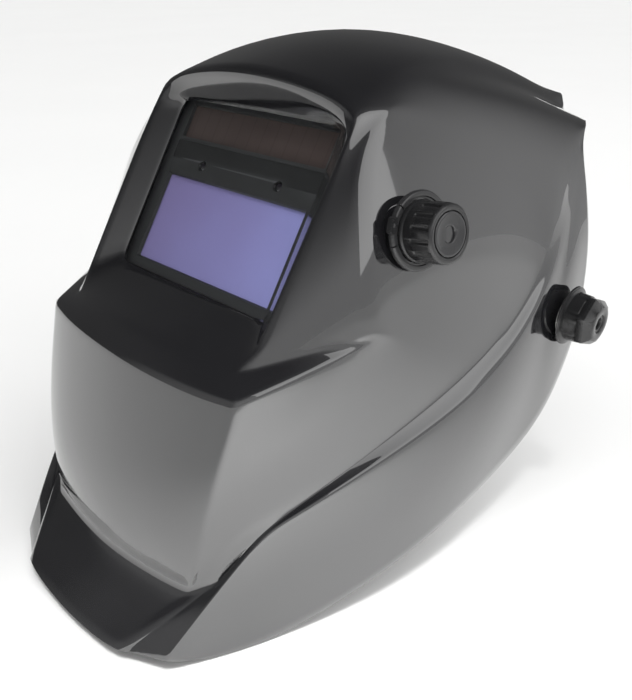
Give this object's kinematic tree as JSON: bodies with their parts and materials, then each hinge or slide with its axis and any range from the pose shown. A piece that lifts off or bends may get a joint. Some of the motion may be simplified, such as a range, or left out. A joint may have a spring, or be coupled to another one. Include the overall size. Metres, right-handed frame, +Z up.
{
  "type": "welding helmet",
  "caption": "Auto-darkening welding helmet: flip-up glossy shell on a ratchet headgear, with a filter cartridge behind the window and a side shade control.",
  "frame": {"origin": "on the table that the helmet rests on, at the middle of its box", "axes": "+Z up, the front faces -Y, the wearer's left is +X; the helmet rests tilted back on its chin rim and ratchet knob"},
  "size_m": [0.2622, 0.3498, 0.2421],
  "materials": {
    "gloss_black_shell": "mirror-gloss injection moulded nylon, black",
    "black_nylon": "semi-gloss moulded nylon, black",
    "headgear_plastic": "satin polyethylene, black",
    "filter_case": "fine matte texture, dark grey",
    "clear_lens": "clear hard-coated polycarbonate",
    "violet_filter": "interference-coated glass, violet sheen",
    "lcd_green": "dark green liquid crystal stack",
    "solar_brown": "amorphous silicon strip under glass",
    "sensor_dark": "dark photodiode lens",
    "circuit_green": "solder-masked board",
    "steel": "zinc-plated steel",
    "washer_nylon": "natural nylon",
    "sweat_cloth": "black towelling over foam",
    "lead_rubber": "thin PVC-sheathed lead, black"
  },
  "bodies": {
    "headgear": {"temple_plate_left": "headgear_plastic", "temple_plate_right": "headgear_plastic", "browband": "headgear_plastic", "sweatband": "sweat_cloth", "rear_band_left": "headgear_plastic", "rear_band_right": "headgear_plastic", "brow_rivet_left": "headgear_plastic", "brow_rivet_right": "headgear_plastic", "rear_rivet_left": "headgear_plastic", "rear_rivet_right": "headgear_plastic", "pivot_bolt_left": "steel", "pivot_bolt_right": "steel", "knob_washer_left": "steel", "knob_washer_right": "steel", "tilt_plate_left": "headgear_plastic", "tilt_plate_right": "headgear_plastic", "spring_washer_left": "steel", "spring_washer_right": "steel", "friction_washer_left": "washer_nylon", "friction_washer_right": "washer_nylon", "crown_strap_front_left": "headgear_plastic", "crown_strap_front_right": "headgear_plastic", "crown_strap_rear_left": "headgear_plastic", "crown_strap_rear_right": "headgear_plastic", "crown_peg_front": "headgear_plastic", "crown_peg_rear": "headgear_plastic", "ratchet_inner_case": "headgear_plastic", "ratchet_outer_case": "headgear_plastic", "nape_pad": "sweat_cloth"},
    "visor": {"helmet_shell": "gloss_black_shell", "outer_cover_lens": "clear_lens", "inner_cover_lens": "clear_lens", "filter_holder": "black_nylon", "filter_front_case": "filter_case", "filter_back_case": "filter_case", "uv_ir_glass": "violet_filter", "lcd_shutter": "lcd_green", "solar_cell": "solar_brown", "circuit_board": "circuit_green", "coin_cell": "steel", "battery_door": "filter_case", "arc_sensor_left": "sensor_dark", "arc_sensor_right": "sensor_dark", "shade_bezel": "black_nylon", "shade_nut": "steel", "potentiometer": "steel", "shade_housing": "headgear_plastic", "shade_lead": "lead_rubber"},
    "shade_knob": {"shade_knob": "black_nylon", "shade_knob_cap": "black_nylon", "shade_shaft": "steel"},
    "sensitivity_dial": {"sensitivity_dial": "filter_case"},
    "delay_dial": {"delay_dial": "filter_case"},
    "tension_knob_left": {"tension_knob_left": "black_nylon"},
    "tension_knob_right": {"tension_knob_right": "black_nylon"},
    "ratchet_knob": {"ratchet_knob": "black_nylon", "ratchet_pinion": "steel"},
    "rack_tail_left": {"rack_tail_left": "headgear_plastic"},
    "rack_tail_right": {"rack_tail_right": "headgear_plastic"}
  },
  "joints": [
    {"name": "visor_flip", "type": "hinge", "parent": "headgear", "child": "visor", "pos_m": [0, 0.0626, 0.1122], "axis": [-1, 0, 0], "range_deg": [0, 75]},
    {"name": "shade_knob_turn", "type": "hinge", "parent": "visor", "child": "shade_knob", "pos_m": [0.088, -0.03823, 0.17544], "axis": [0.9759, -0.1238, 0.1794], "range_deg": [-135, 135]},
    {"name": "sensitivity_turn", "type": "hinge", "parent": "visor", "child": "sensitivity_dial", "pos_m": [0.032, -0.03879, 0.19555], "axis": [0, 0.8358, -0.549], "range_deg": [-135, 135]},
    {"name": "delay_turn", "type": "hinge", "parent": "visor", "child": "delay_dial", "pos_m": [-0.012, -0.03879, 0.19555], "axis": [0, 0.8358, -0.549], "range_deg": [-135, 135]},
    {"name": "tension_turn_left", "type": "hinge", "parent": "headgear", "child": "tension_knob_left", "pos_m": [0, 0.0626, 0.1122], "axis": [1, 0, 0], "range_deg": [0, 360]},
    {"name": "tension_turn_right", "type": "hinge", "parent": "headgear", "child": "tension_knob_right", "pos_m": [0, 0.0626, 0.1122], "axis": [-1, 0, 0], "range_deg": [0, 360]},
    {"name": "ratchet_turn", "type": "hinge", "parent": "headgear", "child": "ratchet_knob", "pos_m": [0, 0.07846, 0.0916], "axis": [0, 0.61, -0.7924], "range_deg": [-90, 90]},
    {"name": "tail_slide_left", "type": "hinge", "parent": "headgear", "child": "rack_tail_left", "pos_m": [0, 0.07846, 0.0916], "axis": [0, 0.7924, 0.61], "range_deg": [-5.3, 5.3]},
    {"name": "tail_slide_right", "type": "hinge", "parent": "headgear", "child": "rack_tail_right", "pos_m": [0, 0.07846, 0.0916], "axis": [0, 0.7924, 0.61], "range_deg": [-5.3, 5.3]}
  ],
  "couplings": [
    {"joint": "tail_slide_left", "follows": "ratchet_turn", "ratio": -0.05824},
    {"joint": "tail_slide_right", "follows": "ratchet_turn", "ratio": 0.05824}
  ]
}
